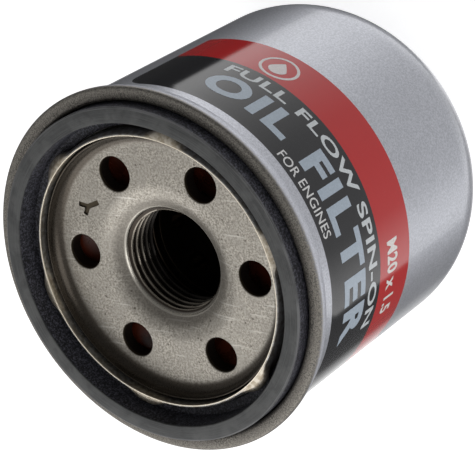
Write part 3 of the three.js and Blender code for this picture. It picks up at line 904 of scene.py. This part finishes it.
def makeRivet():
    s = rivetStyle
    bottom, top = low("bypass_rivet").z, high("bypass_rivet").z
    head, shank, upset = s["head"], s["shank"], s["upset"]
    underHead, shoulder = bottom + s["headHeight"], top - s["upsetHeight"]
    bm = turned([
        (0, bottom), (head, bottom, 0.6), (head, underHead, 0.1), (shank, underHead + 0.05, 0.1),
        (shank, shoulder, 0.1), (upset, shoulder, 0.1), (upset, top, 0.55), (0, top)], steps=64)
    finishPiece("bypassRivet", bm, valveTin, "bypass_poppet", ["bypass_rivet"])


coilStyle = {"radius": 4.6, "wire": 0.5, "endTurns": 0.9, "turns": 4.5, "stepsPerTurn": 48}


def makeCoil():  # two closed end turns with open ones between
    s = coilStyle
    wire, endTurns = s["wire"], s["endTurns"]
    bottom, top = low("bypass_spring").z, high("bypass_spring").z
    bm = bmesh.new()
    made = bmesh.ops.create_circle(bm, cap_ends=False, radius=wire, segments=20)["verts"]
    bmesh.ops.rotate(bm, cent=(0, 0, 0), matrix=Matrix.Rotation(math.radians(90), 3, "X"), verts=made)
    bmesh.ops.translate(bm, vec=(s["radius"], 0, bottom + wire), verts=made)
    ring = bm.verts[:] + bm.edges[:]
    endRise = 2 * wire * 1.02
    middleTurns = s["turns"] - 2 * endTurns
    middleRise = (top - bottom - 2 * wire - 2 * endRise * endTurns) / middleTurns
    for turns, rise in ((endTurns, endRise), (middleTurns, middleRise), (endTurns, endRise)):
        steps = round(turns * s["stepsPerTurn"])
        ring = bmesh.ops.spin(
            bm, geom=ring, cent=(0, 0, 0), axis=(0, 0, 1), dvec=(0, 0, rise * turns / steps),
            angle=2 * math.pi * turns, steps=steps, use_merge=False, use_normal_flip=False,
            use_duplicate=False)["geom_last"]
    bmesh.ops.holes_fill(bm, edges=[e for e in bm.edges if e.is_boundary], sides=0)
    bmesh.ops.recalc_face_normals(bm, faces=bm.faces)
    piece = finishPiece("bypassSpring", bm, springWire, None, ["bypass_spring"], 50)
    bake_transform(piece)


cageStyle = {"wall": 8.6, "sheet": 0.6, "topHole": 3.4, "windows": 4, "windowWidth": 7.6, "firstWindow": 45.0}


def makeCage():
    s = cageStyle
    wall, sheet, hole = s["wall"], s["sheet"], s["topHole"]
    bottom, foot = low("bypass_cage").z, cageRadius
    bm = turned([
        (wall, bottom, 0.1), (foot, bottom, 0.15), (foot, bottom + sheet, 0.15),
        (wall + sheet, bottom + sheet, 0.4), (wall + sheet, cageTop, 1.2), (hole, cageTop, 0.15),
        (hole, cageTop - sheet, 0.15), (wall, cageTop - sheet, 0.7)], steps=96, longest=3)
    piece = finishPiece("bypassCage", bm, valveTin, "element", ["bypass_cage"])
    half = s["windowWidth"] / 2
    outline = [(6, -half, 1.5), (12, -half, 0.1), (12, half, 0.1), (6, half, 1.5)]
    window = pushed(outline, bottom + 3, cageTop - 2.4)
    subtractPiece(piece, repeatedRound(window, s["windows"], s["firstWindow"]))


makeSeat()
makeWasher()
makeDisc()
makeRivet()
makeCoil()
makeCage()
print("bypass valve made")


leafStyle = {
    "width": 10.0, "reach": 18.2, "crown": 8.2, "foot": 16.6, "hole": 6.6, "stock": 0.8, "curl": 0.5,
    "cuts": 0.8,  # an edge so often, for the bend
}


def makeLeafSpring():  # a flat cross whose four legs are bent down
    s = leafStyle
    bottom, top = low("element_spring").z, high("element_spring").z
    half, reach, stock = s["width"] / 2, s["reach"], s["stock"]
    quarter = [(reach, -half, 1.2), (reach, half, 1.2), (half, half, 2.0)]
    points = []
    for k in range(4):
        turn = Matrix.Rotation(math.radians(90 * k), 2)
        points += [(*(turn @ Vector(p[:2])), p[2]) for p in quarter]
    cross = pushed(points, top - stock, top, segments=6, rounding=0.12)
    piece = finishPiece("leafSpring", cross, springWire, None, ["element_spring"])
    hole = turned([(0, top - 2), (s["hole"], top - 2), (s["hole"], top + 1), (0, top + 1)], steps=64)
    subtractPiece(piece, hole)
    bm = bmesh.new()
    bm.from_mesh(piece.data)
    cuts = int(reach / s["cuts"])
    for axis in ((1, 0, 0), (0, 1, 0)):
        for k in range(-cuts, cuts + 1):
            bmesh.ops.bisect_plane(
                bm, geom=bm.verts[:] + bm.edges[:] + bm.faces[:], dist=1e-7,
                plane_co=tuple(a * k * s["cuts"] * mm for a in axis), plane_no=axis)
    drop = top - stock - bottom
    for v in bm.verts:
        along = max(abs(v.co.x), abs(v.co.y)) / mm
        curl = s["curl"] * smoothStep(along, s["foot"] + 0.4, reach)
        v.co.z -= (drop * smoothStep(along, s["crown"], s["foot"]) - curl) * mm
    bm.to_mesh(piece.data)
    bm.free()
    piece.data.polygons.foreach_set("use_smooth", [True] * len(piece.data.polygons))
    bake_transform(piece)


makeLeafSpring()
print("leaf spring made")


textStyle = {
    "raise": 0.02,
    "lines": [  # words, start and end angle, baseline and cap line, colour, boldness, letter spacing
        ("OIL FILTER", -12.0, -114.5, 56.3, 49.35, (0.36, 0.42, 0.49), 0.042, 1.16),
        ("FULL FLOW SPIN-ON", -12.0, -115.0, 48.3, 45.5, (0.55, 0.58, 0.60), 0.024, 1.06),
        ("FOR ENGINES", -47.0, -76.0, 59.4, 57.2, (0.62, 0.62, 0.62), 0.006, 1.04),
        ("M20 x 1.5", -89.0, -115.0, 42.0, 38.6, (0.70, 0.66, 0.64), 0.03, 1.05)],
}
badgeStyle = {
    "angle": -23.0, "height": 40.0, "radius": 3.7, "band": 0.55,
    "drop": 1.75, "stretch": 1.45, "taper": 0.35, "shift": 0.5, "color": (0.66, 0.62, 0.62),
}


def wrapOnCan(bm, startAngle, baseline):  # x runs round the can, y towards the closed end, z outward
    for v in bm.verts:
        angle = math.radians(startAngle) - v.co.x / canRadius
        radius = canRadius + textStyle["raise"] + v.co.z
        v.co = (radius * math.cos(angle), radius * math.sin(angle), baseline - v.co.y)


def cutAcross(bm, width):  # an edge every millimetre, so that the flat shape can follow the can
    for k in range(1, int(width) + 1):
        bmesh.ops.bisect_plane(
            bm, geom=bm.verts[:] + bm.edges[:] + bm.faces[:], dist=tiny,
            plane_co=(k, 0, 0), plane_no=(1, 0, 0))


def makeText():
    for number, line in enumerate(textStyle["lines"], 1):
        words, startAngle, endAngle, baseline, capLine, color, boldness, spacing = line
        curve = bpy.data.curves.new("words", "FONT")
        curve.body = words
        curve.size = 1
        curve.offset = boldness
        curve.space_character = spacing
        curve.resolution_u = 6
        holder = bpy.data.objects.new("words", curve)
        scene.collection.objects.link(holder)
        graph = bpy.context.evaluated_depsgraph_get()
        graph.update()
        flat = bpy.data.meshes.new_from_object(holder.evaluated_get(graph))
        bpy.data.objects.remove(holder)
        bm = bmesh.new()
        bm.from_mesh(flat)
        left, right = min(v.co.x for v in bm.verts), max(v.co.x for v in bm.verts)
        bottom, top = min(v.co.y for v in bm.verts), max(v.co.y for v in bm.verts)
        width = math.radians(startAngle - endAngle) * canRadius
        tall = baseline - capLine
        bmesh.ops.translate(bm, vec=(-left, -bottom, 0), verts=bm.verts)
        bmesh.ops.scale(bm, vec=(width / (right - left), tall / (top - bottom), 1), verts=bm.verts)
        cutAcross(bm, width)
        wrapOnCan(bm, startAngle, baseline)
        ink = printInk(f"ink{number}", color)
        finishPiece(f"printedLine{number}", bm, ink, "housing", [], 60)


def makeBadge():
    s = badgeStyle
    bm = bmesh.new()
    for radius in (s["radius"], s["radius"] - s["band"]):
        bmesh.ops.create_circle(bm, cap_ends=False, radius=radius, segments=96)
    bmesh.ops.bridge_loops(bm, edges=bm.edges[:])
    drop = bmesh.ops.create_circle(bm, cap_ends=True, radius=s["drop"], segments=48)["verts"]
    for v in drop:  # the upper half is drawn out to a point
        if v.co.y > 0:
            lift = v.co.y / s["drop"]
            v.co.x *= (1 - lift) ** s["taper"] * (1 - s["taper"] * lift)
            v.co.y *= s["stretch"]
        v.co.y -= s["shift"]
    bmesh.ops.translate(bm, vec=(s["radius"], 0, 0), verts=bm.verts)
    cutAcross(bm, 2 * s["radius"])
    wrapOnCan(bm, s["angle"] + math.degrees(s["radius"] / canRadius), s["height"])
    for face in bm.faces:
        if face.normal.dot(face.calc_center_median() * Vector((1, 1, 0))) < 0:
            face.normal_flip()
    finishPiece("plainBadge", bm, printInk("badgeInk", s["color"]), "housing", [], 60)


makeText()
makeBadge()
print("lettering made")


studio = {
    "floorColor": (0.80, 0.80, 0.80), "floorGlow": 0.74, "lightTarget": (0, 0, 0.05),  # lights in metres
    "keyPlace": (-0.52, 0.20, 0.46), "keySize": 0.7, "keyEnergy": 1.7,
    "fillPlace": (-0.10, -0.62, 0.42), "fillSize": 0.6, "fillEnergy": 1.15,
    "camera": (134.47, -207.15, 320.12), "target": (-0.8, -0.5, 41.15), "roll": -122.9, "lens": 156.35,
    "cards": [  # bearing in degrees and brightness of the white and dark cards that the can mirrors
        (-180, 0.14), (-151, 0.18), (-149, 1.35), (-133, 1.30), (-119, 0.95), (-107, 0.62), (-70, 0.60),
        (-35, 0.66), (-11, 0.92), (13, 1.25), (37, 1.45), (47.5, 1.30), (49.5, 0.04), (104, 0.04),
        (110, 1.35), (145, 0.95), (158, 0.55), (166, 0.15), (180, 0.14)],
    "brightSide": 168.0, "skyDark": 0.10, "skyBright": 0.62,
}


def addLight(name, place, size, energy):
    light = bpy.data.lights.new(name, "AREA")
    light.shape = "DISK"
    light.size = size
    light.energy = energy
    lamp = bpy.data.objects.new(name, light)
    lamp.location = place
    lamp.rotation_euler = (Vector(studio["lightTarget"]) - Vector(place)).to_track_quat("-Z", "Y").to_euler()
    scene.collection.objects.link(lamp)


def makeWorld():  # white and dark cards low down, an even glow above
    world = bpy.data.worlds.new("studioWorld")
    scene.world = world
    world.use_nodes = True
    nodes, links = world.node_tree.nodes, world.node_tree.links
    direction = nodes.new("ShaderNodeTexCoord").outputs["Generated"]
    parts = nodes.new("ShaderNodeSeparateXYZ")
    links.new(direction, parts.inputs[0])
    bearing = nodes.new("ShaderNodeMath")
    bearing.operation = "ARCTAN2"
    links.new(parts.outputs["Y"], bearing.inputs[0])
    links.new(parts.outputs["X"], bearing.inputs[1])
    spread = nodes.new("ShaderNodeMapRange")
    links.new(bearing.outputs[0], spread.inputs["Value"])
    spread.inputs["From Min"].default_value = -math.pi
    spread.inputs["From Max"].default_value = math.pi
    cards = nodes.new("ShaderNodeValToRGB")
    links.new(spread.outputs[0], cards.inputs[0])
    ramp = cards.color_ramp
    for place, (degrees, level) in enumerate(studio["cards"]):
        at = (degrees + 180) / 360
        if 0 < place < len(studio["cards"]) - 1:
            stop = ramp.elements.new(at)
        else:
            stop = ramp.elements[0 if place == 0 else -1]
        stop.color = (level, level, level, 1)
    towards = nodes.new("ShaderNodeVectorMath")
    towards.operation = "DOT_PRODUCT"
    links.new(direction, towards.inputs[0])
    side = math.radians(studio["brightSide"])
    towards.inputs[1].default_value = (math.cos(side), math.sin(side), 0)
    sky = nodes.new("ShaderNodeMapRange")
    links.new(towards.outputs["Value"], sky.inputs["Value"])
    darkest, brightest = studio["skyDark"], studio["skyBright"]
    skyRange = {"From Min": -0.55, "From Max": 0.55, "To Min": darkest, "To Max": brightest}
    for socket, number in skyRange.items():
        sky.inputs[socket].default_value = number
    above = nodes.new("ShaderNodeMapRange")  # the cards end a little below the horizon
    links.new(parts.outputs["Z"], above.inputs["Value"])
    above.inputs["From Min"].default_value = -0.12
    above.inputs["From Max"].default_value = 0.0
    mix = nodes.new("ShaderNodeMix")
    mix.data_type = "RGBA"
    links.new(above.outputs[0], mix.inputs[0])
    links.new(cards.outputs[0], mix.inputs[6])
    links.new(sky.outputs[0], mix.inputs[7])
    links.new(mix.outputs[2], nodes["Background"].inputs["Color"])


def makeStudio():
    bm = bmesh.new()
    bmesh.ops.create_grid(bm, x_segments=8, y_segments=8, size=3000)
    f = Finish("studioFloor", Roughness=0.9, Emission_Color=(1, 1, 1, 1))
    f.use(Emission_Strength=studio["floorGlow"])
    soft = f.noise(120, detail=2)
    f.use(Base_Color=f.blend(soft, studio["floorColor"], tuple(c * 0.99 for c in studio["floorColor"])))
    floor = finishPiece("studioFloor", bm, f.material, None)
    floor.visible_glossy = False  # gloss shows the cards instead
    makeWorld()
    for lamp in ("key", "fill"):
        addLight(f"{lamp}Light", studio[f"{lamp}Place"], studio[f"{lamp}Size"], studio[f"{lamp}Energy"])
    camera = bpy.data.objects.new("camera", bpy.data.cameras.new("camera"))
    camera.data.lens = studio["lens"]
    camera.data.sensor_width = 36
    camera.data.clip_start = 0.02
    camera.data.clip_end = 20
    place, target = Vector(studio["camera"]) * mm, Vector(studio["target"]) * mm
    facing = (target - place).to_track_quat("-Z", "Y").to_matrix().to_4x4()
    roll = Matrix.Rotation(math.radians(studio["roll"]), 4, "Z")
    camera.matrix_world = Matrix.Translation(place) @ facing @ roll
    scene.collection.objects.link(camera)
    scene.camera = camera


makeStudio()
print("studio made")
